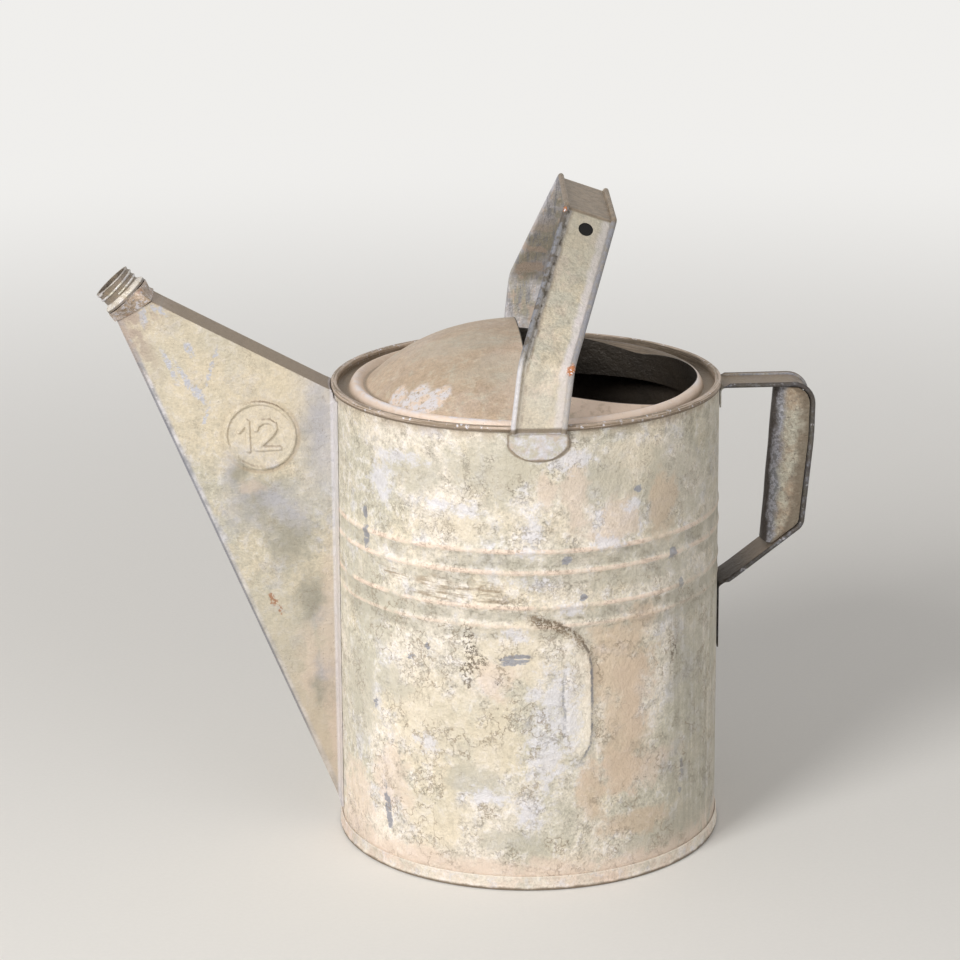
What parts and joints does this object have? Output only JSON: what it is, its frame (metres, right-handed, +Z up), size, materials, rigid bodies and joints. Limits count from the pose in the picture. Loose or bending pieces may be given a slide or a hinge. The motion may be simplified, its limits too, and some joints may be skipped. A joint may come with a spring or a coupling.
{
  "type": "watering can",
  "caption": "Galvanised sheet-metal watering can with a wedge spout and threaded collar, a half-domed hood over the filling mouth, a carrying strap and a back handle.",
  "frame": {"origin": "on the standing surface, under the middle of the can's overall length and width", "axes": "+X from the spout towards the back handle, +Z up, +Y towards the far side in the picture"},
  "size_m": [0.4331, 0.2461, 0.4032],
  "materials": {
    "body_shell": "weathered galvanised sheet, mottled, with small rust spots and scuffs",
    "bottom_plate": "weathered galvanised sheet, dull",
    "foot_hoop": "weathered galvanised sheet, chipped",
    "hood": "weathered galvanised pressing, taupe and mottled",
    "spout_shell": "weathered galvanised sheet, scratched",
    "spout_neck": "weathered galvanised sheet with solder specks",
    "spout_collar": "worn bright zinc",
    "bail_strap": "weathered galvanised strap with small rust chips",
    "handle_strap": "dark weathered galvanised strap",
    "grip_sheath": "dark weathered galvanised sheet"
  },
  "bodies": {
    "root": {"body_shell": "body_shell", "bottom_plate": "bottom_plate", "foot_hoop": "foot_hoop", "hood": "hood", "spout_shell": "spout_shell", "spout_neck": "spout_neck", "spout_collar": "spout_collar", "bail_strap": "bail_strap", "handle_strap": "handle_strap", "grip_sheath": "grip_sheath"}
  },
  "joints": []
}
